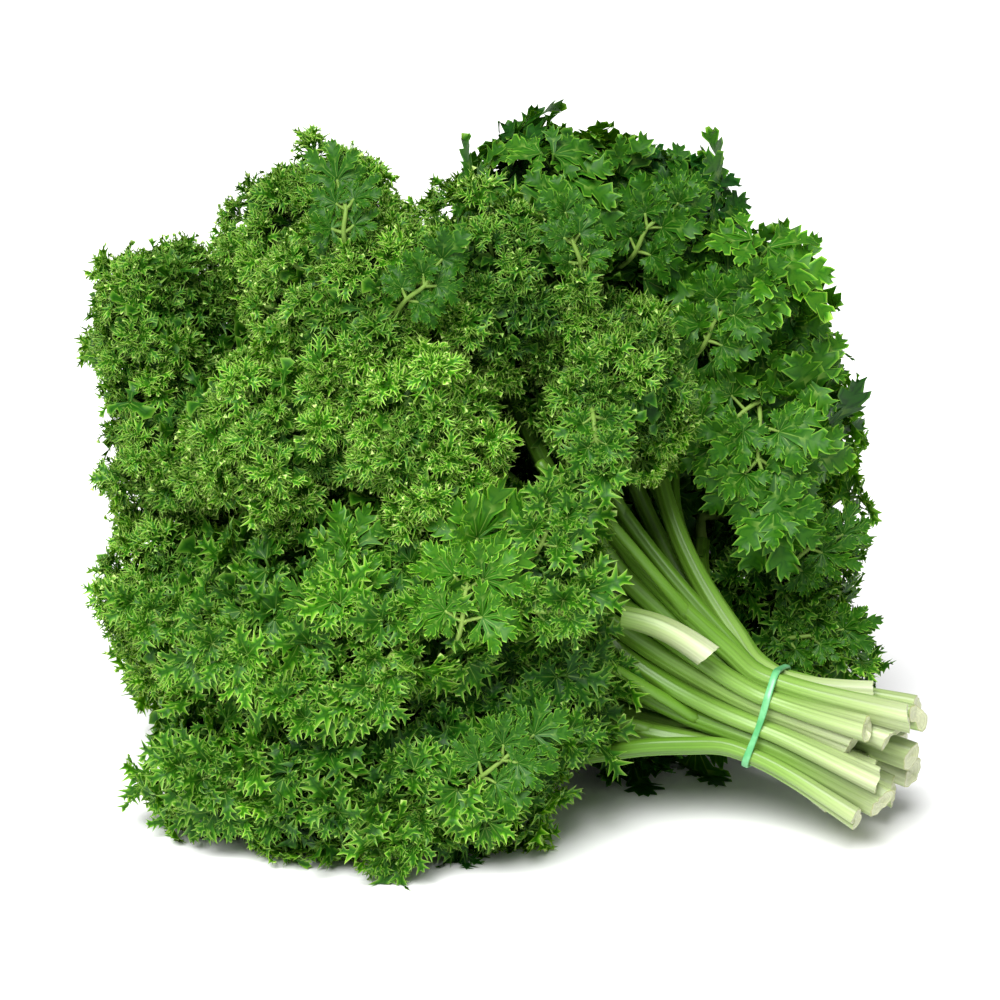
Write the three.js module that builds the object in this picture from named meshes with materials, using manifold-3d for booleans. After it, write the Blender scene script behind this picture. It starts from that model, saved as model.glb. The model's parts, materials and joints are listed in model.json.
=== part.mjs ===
// A bunch of curly parsley, tied with one rubber band and lying on its leaves.
// Millimetres, +Z up. The cut ends point along +X and the origin is under the middle of the bunch.

import * as THREE from 'three';
import { mergeVertices } from 'three/addons/utils/BufferGeometryUtils.js';
import Module from 'manifold-3d';

const wasm = await Module();
wasm.setup();

// ---- driving dimensions ----

const GAP = 0.4; // clear space kept between neighbouring pieces

const STEM_RADIUS = 2.6;
const STEM_PITCH = 2 * STEM_RADIUS + GAP; // the middles of two stems come no closer than this
const STEM_SIDES = 6;
const STEM_STEPS = 14;
const STEM_CLEARANCE = 0.5; // groove left round a stem that brushes past a leaf
const SHORTEST_TAIL = 26; // from the band to the cut end
const LONGEST_TAIL = 48;
const UNEVEN_STEP = 0.618; // from one stem's share of that range to the next, so that no two agree
const STRAIGHT = 8; // each way from the band, the stems run side by side
const TAIL_SPLAY = 0.4; // share by which the tails spread again behind the band
const LEAVING_REACH = 0.35; // share of its length over which a stem keeps to the bundle's direction
const ARRIVING_REACH = 0.2; // share of its length over which a stem turns towards its leaf
const LEAVING_SPLAY = 0.012; // share of its length by which a stem leans out of the bundle
const LEAF_CLEARANCE = 2; // from the tip of a stem to its leaf

const STUB_RADIUS = 3.6; // a pale stalk cut off short, lying on the stems
const STUB_END = new THREE.Vector3(64, -60, 62);
const STUB_START = new THREE.Vector3(38, -52, 72);

const BAND_CENTRE = new THREE.Vector3(84, -44, 36.5);
const BUNDLE_AXIS = new THREE.Vector3(-0.91, 0.32, 0.27).normalize(); // from cut ends to leaves
const BAND_WIDTH = 2.4;
const BAND_THICKNESS = 1.2;
const BAND_SIDES = 24;

const HUB = new THREE.Vector3(0, -5, 85); // inside the dome of leaves, where the stems part

// Settling the stems: in the band they are pressed together, and beyond it they give way.
const PRESSING_ROUNDS = 400;
const PRESSING_PASSES = 6; // partings after each press
const PRESSING = 0.995; // how much closer one press brings them
const PRESSED_PITCH = STEM_PITCH + 0.1;
const PARTING_ROUNDS = 100;
const PARTED_PITCH = STEM_PITCH + 0.7; // leaves room for the curve between two steps
const SMOOTHING = 0.3; // share of the way to a straight line, in one round
const PATH_STEPS = 30;
const STEPS_PER_MARK = 3; // one in three steps of a path is kept for the stem's final curve

const LEAF_DETAIL = 2;
const LUMP_HEIGHT = 0.07; // of the leaf's radius
const LUMP_RATE = 5; // waves of lumps, per radian or so

// The middle and the radius of each leaf's crown of leaflets, from the low front row upwards.
const leafPlaces = [
  // the front row, resting on the surface
  { at: [-83, -48, 24], radius: 29 },
  { at: [-50, -71, 26], radius: 29 },
  { at: [-12, -66, 26], radius: 29 },
  { at: [10, -53, 48], radius: 27 },
  // the front of the dome
  { at: [-102, -20, 67], radius: 29 },
  { at: [-64, -50, 73], radius: 31 },
  { at: [-24, -60, 80], radius: 31 },
  { at: [6, -57, 89], radius: 26 },
  { at: [-100, -5, 112], radius: 30 },
  { at: [-67, -43, 128], radius: 31 },
  { at: [-27, -55, 130], radius: 31 },
  { at: [33, -42, 142], radius: 29 },
  { at: [-108, 12, 148], radius: 28 },
  { at: [-42, -34, 165], radius: 34 },
  { at: [3, -34, 173], radius: 30 },
  // the top
  { at: [-58, 10, 174], radius: 34 },
  { at: [16, 10, 186], radius: 30 },
  { at: [47, 15, 180], radius: 28 },
  { at: [72, 8, 156], radius: 28 },
  // the right flank, behind the stems
  { at: [87, 12, 120], radius: 31 },
  { at: [94, 22, 72], radius: 28 },
  { at: [96, 20, 36], radius: 28 },
  { at: [46, 12, 27], radius: 31 },
  // the back
  { at: [-88, 38, 34], radius: 38 },
  { at: [-26, 54, 36], radius: 41 },
  { at: [-80, 44, 98], radius: 40 },
  { at: [-18, 56, 106], radius: 41 },
  { at: [50, 56, 92], radius: 38 },
  { at: [0, 44, 156], radius: 37 },
];

const leafCentres = leafPlaces.map((place) => new THREE.Vector3(...place.at));

// ---- solids ----

// Only the places of a geometry's corners, with shared corners merged.
function closedSurface(geometry) {
  geometry.deleteAttribute('normal');
  geometry.deleteAttribute('uv');
  return mergeVertices(geometry, 1e-4);
}

function solidOf(geometry) {
  const surface = closedSurface(geometry.clone());
  return new wasm.Manifold(new wasm.Mesh({
    numProp: 3,
    vertProperties: surface.attributes.position.array,
    triVerts: surface.index.array,
  }));
}

function geometryOf(solid) {
  const mesh = solid.getMesh();
  const geometry = new THREE.BufferGeometry();
  geometry.setAttribute('position', new THREE.BufferAttribute(mesh.vertProperties, 3));
  geometry.setIndex(new THREE.BufferAttribute(mesh.triVerts, 1));
  return geometry;
}

function tube(curve, radius, steps) {
  const outline = new THREE.Shape();
  for (let side = 0; side < STEM_SIDES; side++) {
    const angle = (side / STEM_SIDES) * 2 * Math.PI;
    const corner = [radius * Math.cos(angle), radius * Math.sin(angle)];
    if (side === 0) outline.moveTo(...corner);
    else outline.lineTo(...corner);
  }
  outline.closePath();
  return new THREE.ExtrudeGeometry(outline, { steps, extrudePath: curve, bevelEnabled: false });
}

// ---- leaves ----

// A leaf's own lumpy outline, before its neighbours and the surface press on it.
function freeReach(index, direction) {
  const { radius } = leafPlaces[index];
  const lumps = Math.sin(LUMP_RATE * direction.x + index)
    * Math.sin(LUMP_RATE * direction.y + 2 * index)
    * Math.sin(LUMP_RATE * direction.z + 3 * index);
  return radius * (1 + LUMP_HEIGHT * lumps);
}

// How far a leaf reaches from its middle in one direction. Two leaves meet on a flat plane between
// them, with a gap, and no leaf goes below the surface that the bunch lies on.
function leafReach(index, direction) {
  const centre = leafCentres[index];
  const { radius } = leafPlaces[index];
  let reach = freeReach(index, direction);
  if (direction.z < 0) reach = Math.min(reach, centre.z / -direction.z);
  leafCentres.forEach((other, otherIndex) => {
    if (otherIndex === index) return;
    const towards = other.clone().sub(centre);
    const distance = towards.length();
    const slope = direction.dot(towards) / distance;
    if (slope <= 0) return;
    const otherRadius = leafPlaces[otherIndex].radius;
    const plane = (distance ** 2 + radius ** 2 - otherRadius ** 2) / (2 * distance) - GAP / 2;
    reach = Math.min(reach, plane / slope);
  });
  return reach;
}

function leafGeometry(index) {
  const geometry = closedSurface(new THREE.IcosahedronGeometry(1, LEAF_DETAIL));
  const corners = geometry.attributes.position;
  const corner = new THREE.Vector3();
  for (let i = 0; i < corners.count; i++) {
    corner.fromBufferAttribute(corners, i).normalize();
    corner.multiplyScalar(leafReach(index, corner)).add(leafCentres[index]);
    corners.setXYZ(i, corner.x, corner.y, corner.z);
  }
  return geometry;
}

// ---- stems ----

const sideways = new THREE.Vector3(0, 0, 1).cross(BUNDLE_AXIS).normalize();
const upwards = BUNDLE_AXIS.clone().cross(sideways);

// Each stem's place in the band, as [sideways, upwards]. A stem starts on the side of the bundle
// that faces its leaf, then the stems are pressed together until they lie side by side.
function packStems() {
  const widestStart = 14;
  const nearestLeaf = 30;
  const places = leafCentres.map((centre) => {
    const towards = centre.clone().sub(BAND_CENTRE);
    const along = Math.max(towards.dot(BUNDLE_AXIS), nearestLeaf);
    const place = new THREE.Vector2(towards.dot(sideways), towards.dot(upwards));
    place.multiplyScalar(widestStart / along);
    return place.clampLength(0, widestStart);
  });
  for (let round = 0; round < PRESSING_ROUNDS; round++) {
    places.forEach((place) => place.multiplyScalar(PRESSING));
    for (let pass = 0; pass < PRESSING_PASSES; pass++) {
      places.forEach((first, index) => {
        places.slice(index + 1).forEach((second) => keepApart(first, second, PRESSED_PITCH));
      });
    }
  }
  return places;
}

// Moves two points away from each other, each by half of what is missing.
function keepApart(first, second, distance) {
  const apart = second.clone().sub(first);
  const missing = distance - apart.length();
  if (missing <= 0) return;
  apart.setLength(missing / 2);
  first.sub(apart);
  second.add(apart);
}

const stemPlaces = packStems();

function acrossBundle(place) {
  return sideways.clone().multiplyScalar(place.x).addScaledVector(upwards, place.y);
}

function besideBand(index, along) {
  const place = acrossBundle(stemPlaces[index]);
  return place.add(BAND_CENTRE).addScaledVector(BUNDLE_AXIS, along);
}

// From just past the band in one bend to the near side of the leaf.
function firstPath(index) {
  const start = besideBand(index, STRAIGHT);
  const centre = leafCentres[index];
  const arrival = HUB.clone().sub(centre).normalize();
  const tip = centre.clone().addScaledVector(arrival, leafReach(index, arrival) + LEAF_CLEARANCE);
  const length = tip.distanceTo(start);
  const leaving = start.clone().addScaledVector(BUNDLE_AXIS, length * LEAVING_REACH)
    .addScaledVector(acrossBundle(stemPlaces[index]), length * LEAVING_SPLAY);
  const arriving = tip.clone().addScaledVector(arrival, length * ARRIVING_REACH);
  return new THREE.CubicBezierCurve3(start, leaving, arriving, tip).getSpacedPoints(PATH_STEPS);
}

// Stems that would pass through each other, or through a leaf, give way and stay smooth.
function partStems(paths) {
  const fixed = new Set(paths.flatMap((path) => [path[0], path[PATH_STEPS]]));
  for (let round = 0; round < PARTING_ROUNDS; round++) {
    paths.forEach((path, index) => {
      path.slice(1, -1).forEach((point, step) => {
        const middle = path[step].clone().add(path[step + 2]).multiplyScalar(0.5);
        point.lerp(middle, SMOOTHING);
        leafCentres.forEach((centre, leaf) => {
          const away = point.clone().sub(centre);
          const near = leafPlaces[leaf].radius + STEM_RADIUS + STEM_CLEARANCE;
          if (leaf === index || away.length() > near) return;
          const keptOut = leafReach(leaf, away.clone().normalize()) + STEM_RADIUS + STEM_CLEARANCE;
          if (away.length() < keptOut) point.copy(centre).add(away.setLength(keptOut));
        });
      });
      paths.slice(index + 1).forEach((other) => {
        path.forEach((point) => {
          other.forEach((otherPoint) => {
            if (fixed.has(point) || fixed.has(otherPoint)) return;
            keepApart(point, otherPoint, PARTED_PITCH);
          });
        });
      });
    });
  }
  return paths;
}

const stemPaths = partStems(leafPlaces.map((_, index) => firstPath(index)));

// The whole stem: its cut end, the stretch through the band, and its path to the leaf.
function stemCurve(index) {
  const share = (index * UNEVEN_STEP) % 1;
  const tail = SHORTEST_TAIL + share * (LONGEST_TAIL - SHORTEST_TAIL);
  const cutEnd = besideBand(index, -tail)
    .addScaledVector(acrossBundle(stemPlaces[index]), TAIL_SPLAY);
  const marks = stemPaths[index].filter((_, step) => step % STEPS_PER_MARK === 0);
  const points = [cutEnd, besideBand(index, -STRAIGHT), ...marks];
  return new THREE.CatmullRomCurve3(points, false, 'centripetal');
}

// ---- the tie ----

// A flat ring round the bundle, square to its stems.
function bandGeometry() {
  const inner = Math.max(...stemPlaces.map((place) => place.length())) + STEM_RADIUS + GAP;
  const outer = inner + BAND_THICKNESS;
  const half = BAND_WIDTH / 2;
  const section = [[inner, -half], [outer, -half], [outer, half], [inner, half], [inner, -half]];
  const geometry = new THREE.LatheGeometry(
    section.map(([x, y]) => new THREE.Vector2(x, y)), BAND_SIDES,
  );
  const turn = new THREE.Quaternion().setFromUnitVectors(new THREE.Vector3(0, 1, 0), BUNDLE_AXIS);
  return geometry.applyQuaternion(turn).translate(...BAND_CENTRE);
}

// ---- assembly ----

const bunch = new THREE.Group();

function addPiece(name, geometry, material) {
  const mesh = new THREE.Mesh(geometry, material);
  mesh.name = name;
  bunch.add(mesh);
}

function numbered(name, index) {
  return `${name}_${String(index + 1).padStart(2, '0')}`;
}

const stemCurves = leafPlaces.map((_, index) => stemCurve(index));
const stemKeepOuts = stemCurves.map((curve) => (
  solidOf(tube(curve, STEM_RADIUS + STEM_CLEARANCE, STEM_STEPS))
));

stemCurves.forEach((curve, index) => {
  addPiece(numbered('stem', index), tube(curve, STEM_RADIUS, STEM_STEPS),
    new THREE.MeshStandardMaterial({ color: 0x8fae5a, roughness: 0.45, metalness: 0 }));
});

leafPlaces.forEach((_, index) => {
  let leaf = solidOf(leafGeometry(index));
  stemKeepOuts.forEach((keepOut) => {
    leaf = leaf.subtract(keepOut);
  });
  addPiece(numbered('leaf', index), geometryOf(leaf),
    new THREE.MeshStandardMaterial({ color: 0x3c7a22, roughness: 0.6, metalness: 0 }));
});

const stub = new THREE.LineCurve3(STUB_START, STUB_END);
addPiece('cut_stalk', tube(stub, STUB_RADIUS, 1),
  new THREE.MeshStandardMaterial({ color: 0xc9d59a, roughness: 0.45, metalness: 0 }));

addPiece('rubber_band', bandGeometry(),
  new THREE.MeshStandardMaterial({ color: 0x52c98f, roughness: 0.35, metalness: 0 }));

// The origin goes on the surface, under the middle of the bunch.
const box = new THREE.Box3().setFromObject(bunch);
const middle = box.getCenter(new THREE.Vector3());
bunch.position.set(-middle.x, -middle.y, 0);

export default bunch;
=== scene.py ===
# A tied bunch of curly parsley: leaves, stems and rubber band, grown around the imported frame.
# Lengths are in metres. Names ending in _mm are in millimetres, and mm() turns them into metres.
import json
import math

import bpy
import numpy as np
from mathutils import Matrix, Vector, noise
from mathutils.bvhtree import BVHTree

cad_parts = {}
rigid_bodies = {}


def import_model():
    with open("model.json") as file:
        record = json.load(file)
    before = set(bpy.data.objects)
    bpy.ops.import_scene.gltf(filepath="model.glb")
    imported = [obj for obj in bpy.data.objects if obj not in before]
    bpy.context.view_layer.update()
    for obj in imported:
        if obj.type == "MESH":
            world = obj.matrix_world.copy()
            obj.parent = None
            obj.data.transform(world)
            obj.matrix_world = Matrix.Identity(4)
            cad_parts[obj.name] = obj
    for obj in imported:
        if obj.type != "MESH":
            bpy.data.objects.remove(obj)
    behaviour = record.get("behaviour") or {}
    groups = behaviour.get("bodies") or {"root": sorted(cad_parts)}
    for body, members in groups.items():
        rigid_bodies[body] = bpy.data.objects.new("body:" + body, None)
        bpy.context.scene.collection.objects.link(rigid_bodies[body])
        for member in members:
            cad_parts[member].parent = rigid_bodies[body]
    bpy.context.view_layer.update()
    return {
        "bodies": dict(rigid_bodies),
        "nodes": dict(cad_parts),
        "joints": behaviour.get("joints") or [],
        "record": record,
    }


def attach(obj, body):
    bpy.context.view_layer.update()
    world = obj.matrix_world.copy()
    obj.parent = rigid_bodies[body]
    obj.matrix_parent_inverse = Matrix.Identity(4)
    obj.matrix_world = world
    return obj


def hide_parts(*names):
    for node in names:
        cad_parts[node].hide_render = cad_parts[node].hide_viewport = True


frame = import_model()
nodes = frame["nodes"]

TURN = 2 * math.pi
UP = np.array([0.0, 0.0, 1.0])


def mm(length):
    return np.asarray(length, dtype=float) * 0.001


def unit(vectors):
    vectors = np.asarray(vectors, dtype=float)
    return vectors / np.linalg.norm(vectors, axis=-1, keepdims=True)


# ---------------------------------------------------------------- camera


def aim_camera():
    """Looks a little down on the front of the bunch through a long lens, as for a product picture."""
    elevation = math.radians(17)
    distance = 1.25
    target = Vector((0.002, 0.001, 0.094))
    away = Vector((0, -math.cos(elevation), math.sin(elevation)))
    lens = bpy.data.cameras.new("camera")
    lens.lens = 140
    lens.sensor_width = 36
    lens.clip_end = 50
    camera = bpy.data.objects.new("camera", lens)
    camera.location = target + away * distance
    camera.rotation_euler = away.to_track_quat("Z", "Y").to_euler()
    bpy.context.collection.objects.link(camera)
    bpy.context.scene.camera = camera


# ---------------------------------------------------------------- meshes


class Pile:
    """Corners, faces and surface marks of one piece, gathered before its mesh is made."""

    def __init__(self):
        self.points = []
        self.marks = []
        self.quads = []
        self.count = 0

    def add(self, points, quads, marks):
        """points is (n, 3), quads is (m, 4), and marks is (n, 2): the piece's two surface marks."""
        self.points.append(np.asarray(points, dtype=float))
        self.marks.append(np.asarray(marks, dtype=float))
        self.quads.append(np.asarray(quads, dtype=np.int64) + self.count)
        self.count += len(points)

    def mesh(self, name):
        """The marks go into the map OFBake, where the finish reads them."""
        points = np.concatenate(self.points)
        marks = np.concatenate(self.marks)
        quads = np.concatenate(self.quads)
        mesh = bpy.data.meshes.new(name)
        mesh.vertices.add(len(points))
        mesh.vertices.foreach_set("co", points.ravel())
        three = quads[:, 2] == quads[:, 3]
        sizes = np.where(three, 3, 4)
        kept = np.ones(quads.shape, dtype=bool)
        kept[three, 3] = False
        corners = quads[kept]
        starts = np.concatenate([[0], np.cumsum(sizes)[:-1]])
        mesh.loops.add(len(corners))
        mesh.loops.foreach_set("vertex_index", corners.astype(np.int32))
        mesh.polygons.add(len(quads))
        mesh.polygons.foreach_set("loop_start", starts.astype(np.int32))
        mesh.polygons.foreach_set("use_smooth", np.ones(len(quads), dtype=bool))
        layer = mesh.uv_layers.new(name="OFBake")
        layer.uv.foreach_set("vector", marks[corners].astype(np.float32).ravel())
        mesh.update(calc_edges=True)
        mesh.validate()
        return mesh


def set_in_place(pile, name, finish, node):
    """Makes a pile into one piece of the bunch, in the place of its CAD node."""
    piece = bpy.data.objects.new(name, pile.mesh(name))
    piece.data.materials.append(bpy.data.materials[finish])
    bpy.context.collection.objects.link(piece)
    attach(piece, "root")
    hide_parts(node)


def grid_quads(rows, columns, closed=False):
    """The faces between rows of points, each row running over the columns."""
    along = np.arange(rows - 1)[:, None] * columns
    last = columns if closed else columns - 1
    start = np.arange(last)[None, :]
    after = (start + 1) % columns
    faces = np.stack([along + start, along + after, along + columns + after, along + columns + start])
    return faces.reshape(4, -1).T


def smooth_line(points, count):
    """Evenly spaced points on a smooth curve through the given ones."""
    points = np.asarray(points, dtype=float)
    padded = np.concatenate([[2 * points[0] - points[1]], points, [2 * points[-1] - points[-2]]])
    steps = np.linspace(0, 1, 12, endpoint=False)[:, None]
    fine = []
    for before, start, end, after in zip(padded, padded[1:], padded[2:], padded[3:]):
        bend = 2 * before - 5 * start + 4 * end - after
        twist = 3 * start - before - 3 * end + after
        fine.append(start + steps * (end - before) / 2 + steps**2 * bend / 2 + steps**3 * twist / 2)
    fine = np.concatenate([*fine, points[-1:]])
    run = np.concatenate([[0], np.cumsum(np.linalg.norm(np.diff(fine, axis=0), axis=1))])
    wanted = np.linspace(0, run[-1], count)
    return np.stack([np.interp(wanted, run, fine[:, axis]) for axis in range(3)], axis=1)


def carried_frames(line, side=UP):
    """Directions along a line and two square to it, turning as little as they can."""
    along = unit(np.gradient(line, axis=0))
    first = np.empty_like(along)
    start = side - along[0] * (side @ along[0])
    if np.linalg.norm(start) < 0.1:
        start = np.array([1.0, 0.0, 0.0]) - along[0] * along[0][0]
    first[0] = unit(start)
    for step in range(1, len(line)):
        turned = first[step - 1] - along[step] * (first[step - 1] @ along[step])
        first[step] = unit(turned)
    return along, first, np.cross(along, first)


def add_tube(pile, line, radii, marks, sides=6):
    """A plain round stalk along a line, closed by a point at both ends."""
    along, first, second = carried_frames(line)
    angle = np.arange(sides) / sides * TURN
    ring = np.cos(angle)[:, None] * first[:, None] + np.sin(angle)[:, None] * second[:, None]
    body = (line[:, None] + ring * np.asarray(radii)[:, None, None]).reshape(-1, 3)
    ends = np.stack([line[0] - along[0] * radii[0] * 0.3, line[-1] + along[-1] * radii[-1] * 0.3])
    quads = grid_quads(len(line), sides, closed=True)
    corner = np.arange(sides)
    after = (corner + 1) % sides
    low = np.full(sides, len(body))
    high = np.full(sides, len(body) + 1)
    far = (len(line) - 1) * sides
    start_cap = np.stack([after, corner, low, low], axis=1)
    end_cap = np.stack([far + corner, far + after, high, high], axis=1)
    body_marks = np.repeat(marks, sides, axis=0)
    end_marks = np.stack([marks[0], marks[-1]])
    pile.add(
        np.concatenate([body, ends]),
        np.concatenate([quads, start_cap, end_cap]),
        np.concatenate([body_marks, end_marks]),
    )


# ---------------------------------------------------------------- leaflets

# How each kind of leaflet is cut. It is a fan of lobes, each with its own midrib. The reach is from
# the leaflet's stalk to its longest lobe, and the taper is how much shorter its outer lobes are. The
# edge is a lobe's outline: shares of its length, half widths as shares of its length, and how far
# forward each tooth points. The opening is the angle between the lobes and the leaflet's axis at the
# stalk, the bend is how far they curl over by their tips, and the roll how far they twist. The fold
# lifts the two halves of a lobe, the ruffle makes its edge wavy, and the tooth curl bends its teeth.
# The rib and the rim say which of the finish's colours, from 0 to 1, its midrib and its edge have. The pale
# edge is partly the leaf's own colour and partly painted highlight.
MOSS = {
    "reach_mm": 7.4,
    "lobes": 6,
    "spread": 270,
    "taper": 0.2,
    "columns": 3,
    "edge": (
        (0.0, 0.03, 0.0),
        (0.30, 0.08, 0.0),
        (0.36, 0.28, 0.12),
        (0.41, 0.09, 0.0),
        (0.50, 0.11, 0.0),
        (0.55, 0.36, 0.16),
        (0.60, 0.11, 0.0),
        (0.68, 0.10, 0.0),
        (0.73, 0.34, 0.19),
        (0.77, 0.08, 0.0),
        (0.84, 0.07, 0.0),
        (0.88, 0.22, 0.18),
        (0.91, 0.05, 0.0),
        (1.08, 0.01, 0.0),
    ),
    "opening": 30,
    "bend": 58,
    "roll": 38,
    "fold": 0.25,
    "ruffle": 0.10,
    "tooth_curl": 0.11,
    "rib": 0.10,
    "rim": 1.0,
}
LOOSE = {
    "reach_mm": 11.0,
    "lobes": 5,
    "spread": 185,
    "taper": 0.28,
    "columns": 3,
    "edge": (
        (0.0, 0.04, 0.0),
        (0.30, 0.11, 0.0),
        (0.38, 0.15, 0.0),
        (0.46, 0.36, 0.12),
        (0.52, 0.14, 0.0),
        (0.60, 0.16, 0.0),
        (0.67, 0.37, 0.15),
        (0.73, 0.12, 0.0),
        (0.81, 0.11, 0.0),
        (0.87, 0.24, 0.14),
        (0.91, 0.07, 0.0),
        (1.04, 0.01, 0.0),
    ),
    "opening": 52,
    "bend": 42,
    "roll": 28,
    "fold": 0.24,
    "ruffle": 0.08,
    "tooth_curl": 0.07,
    "rib": 0.02,
    "rim": 0.98,
}
BROAD = {
    "reach_mm": 20.0,
    "lobes": 5,
    "spread": 150,
    "taper": 0.38,
    "columns": 5,
    "edge": (
        (0.0, 0.04, 0.0),
        (0.20, 0.08, 0.0),
        (0.36, 0.12, 0.0),
        (0.45, 0.23, 0.06),
        (0.49, 0.27, 0.12),
        (0.55, 0.13, 0.02),
        (0.66, 0.24, 0.07),
        (0.70, 0.25, 0.13),
        (0.76, 0.11, 0.02),
        (0.85, 0.15, 0.06),
        (0.88, 0.14, 0.11),
        (0.92, 0.06, 0.0),
        (1.02, 0.01, 0.0),
    ),
    "opening": 66,
    "bend": 44,
    "roll": 20,
    "fold": 0.16,
    "ruffle": 0.07,
    "tooth_curl": 0.03,
    "rib": 0.02,
    "rim": 0.93,
}
OPEN = {
    "reach_mm": 15.5,
    "lobes": 5,
    "spread": 160,
    "taper": 0.30,
    "columns": 5,
    "edge": (
        (0.0, 0.04, 0.0),
        (0.22, 0.07, 0.0),
        (0.38, 0.09, 0.0),
        (0.47, 0.19, 0.07),
        (0.52, 0.23, 0.14),
        (0.58, 0.11, 0.02),
        (0.68, 0.20, 0.08),
        (0.72, 0.21, 0.15),
        (0.78, 0.09, 0.02),
        (0.87, 0.12, 0.05),
        (0.90, 0.10, 0.10),
        (0.93, 0.05, 0.0),
        (1.03, 0.01, 0.0),
    ),
    "opening": 76,
    "bend": 26,
    "roll": 14,
    "fold": 0.16,
    "ruffle": 0.06,
    "tooth_curl": 0.03,
    "rib": 0.02,
    "rim": 0.94,
}
INNER = {
    "reach_mm": 8.5,
    "lobes": 3,
    "spread": 220,
    "taper": 0.2,
    "columns": 3,
    "edge": (
        (0.0, 0.06, 0.0),
        (0.34, 0.14, 0.0),
        (0.44, 0.38, 0.12),
        (0.54, 0.15, 0.0),
        (0.74, 0.34, 0.16),
        (1.0, 0.03, 0.0),
    ),
    "opening": 50,
    "bend": 50,
    "roll": 34,
    "fold": 0.2,
    "ruffle": 0.1,
    "tooth_curl": 0.05,
    "rib": 0.02,
    "rim": 0.95,
}

HUB_MM = 0.35  # from the leaflet's axis to where its lobes start
# Where the points of a row sit over a lobe: on its midrib, on its rims, and between them.
ACROSS = {3: np.array([-1, 0, 1.0]), 5: np.array([-1, -0.68, 0, 0.68, 1])}
TOOTH = 0.04  # an outline point further ahead than this is a tooth's tip
# The pale rim is partly the leaf's own colour and partly painted highlight.
WEB = 0.4  # the share of a lobe's length up to which it has no pale rim
SIDE_VEIN = 0.12  # the mark of the vein that runs into a tooth


def grow_lobe(cut, side, rng):
    """One lobe as rows of points over its midrib: places in mm, and marks that run from 0 on its ribs to 1
    on its rim, whose paleness is partly the leaf's own colour and partly painted highlight. Over the blade
    the marks rise from the lobe's base to its tip, so that the finish paints shade near the leaflet's base.
    Side runs from -1 to 1 over the lobes of a leaflet."""
    share, width, ahead = np.array(cut["edge"]).T
    across = ACROSS[cut["columns"]]
    out = np.abs(across)
    turn = math.radians(cut["spread"]) / 2 * (side + rng.uniform(-0.25, 0.25) / cut["lobes"])
    length = cut["reach_mm"] * (1 - cut["taper"] * abs(side) ** 1.5) * rng.uniform(0.86, 1.12)
    slope = math.radians(cut["opening"] + rng.normal(0, 8))
    slope = slope + math.radians(cut["bend"]) * rng.uniform(0.3, 1.7) * share**1.4
    steps = np.diff(share, prepend=0) * length
    outward = np.array([math.sin(turn), math.cos(turn), 0.0])
    sideways = np.array([math.cos(turn), -math.sin(turn), 0.0])
    lean_out, lean_up = np.sin(slope)[:, None], np.cos(slope)[:, None]
    forward = outward * lean_out + UP * lean_up
    upper = UP * lean_out - outward * lean_up
    middle = outward * HUB_MM + np.cumsum(forward * steps[:, None], axis=0)
    roll = math.radians(cut["roll"]) * rng.normal() * share[:, None]
    over = sideways * np.cos(roll) + upper * np.sin(roll)
    upper = upper * np.cos(roll) - sideways * np.sin(roll)
    uneven = rng.uniform(0.72, 1.22, (len(share), 2))
    uneven = np.where(across[None, :] < 0, uneven[:, :1], uneven[:, 1:])
    half = length * width[:, None] * uneven * out
    sway = np.sin(rng.uniform(5, 9) * share + rng.uniform(0, TURN))[:, None]
    lift = cut["fold"] * half + cut["ruffle"] * length * sway * np.sign(across) * out * share[:, None]
    bent = rng.normal(0, cut["tooth_curl"], (len(share), 2)) * (ahead > TOOTH)[:, None]
    lift = lift + length * np.where(across[None, :] < 0, bent[:, :1], bent[:, 1:]) * out**2
    places = (
        middle[:, None]
        + over[:, None] * (np.sign(across) * half)[:, :, None]
        + forward[:, None] * (out * length * ahead[:, None])[:, :, None]
        + upper[:, None] * lift[:, :, None]
    )
    # The blade's marks rise from its base to its tip and edges, and with the finish's ramps this paints
    # shade near the leaflet's base.
    marks = 0.3 + 0.3 * share[:, None] + 0.1 * out
    marks = np.where((out > 0) & (out < 1) & (ahead[:, None] > TOOTH), SIDE_VEIN, marks)
    marks = np.where(out == 0, cut["rib"] + 0.25 * share[:, None] ** 2, marks)
    # Edges past WEB and the lobe's tip get the rim's mark, which is pale partly in the leaf's own colour and
    # partly as painted highlight.
    marks = np.where((out == 1) & (share[:, None] > WEB), cut["rim"], marks)
    marks[-1] = cut["rim"]
    return places.reshape(-1, 3), marks.ravel()


def grow_blade(cut, rng):
    """One leaflet, with its stalk end at the origin and its axis along +Z."""
    sides = np.linspace(-1, 1, cut["lobes"])
    lobes = [grow_lobe(cut, side, rng) for side in sides]
    quads = grid_quads(len(cut["edge"]), cut["columns"])
    corners = len(lobes[0][0])
    places = np.concatenate([places for places, _ in lobes])
    marks = np.concatenate([marks for _, marks in lobes])
    return mm(places), np.concatenate([quads + corners * number for number in range(len(lobes))]), marks


def blade_stock(cut, seed, count=16):
    """A stock of different leaflets of one cut, used over and over with other turns and sizes."""
    rng = np.random.default_rng(seed)
    return [grow_blade(cut, rng) for _ in range(count)]


STOCKS = {
    "moss": blade_stock(MOSS, 11),
    "loose": blade_stock(LOOSE, 12),
    "broad": blade_stock(BROAD, 13),
    "open": blade_stock(OPEN, 15),
    "inner": blade_stock(INNER, 14),
}

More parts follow.
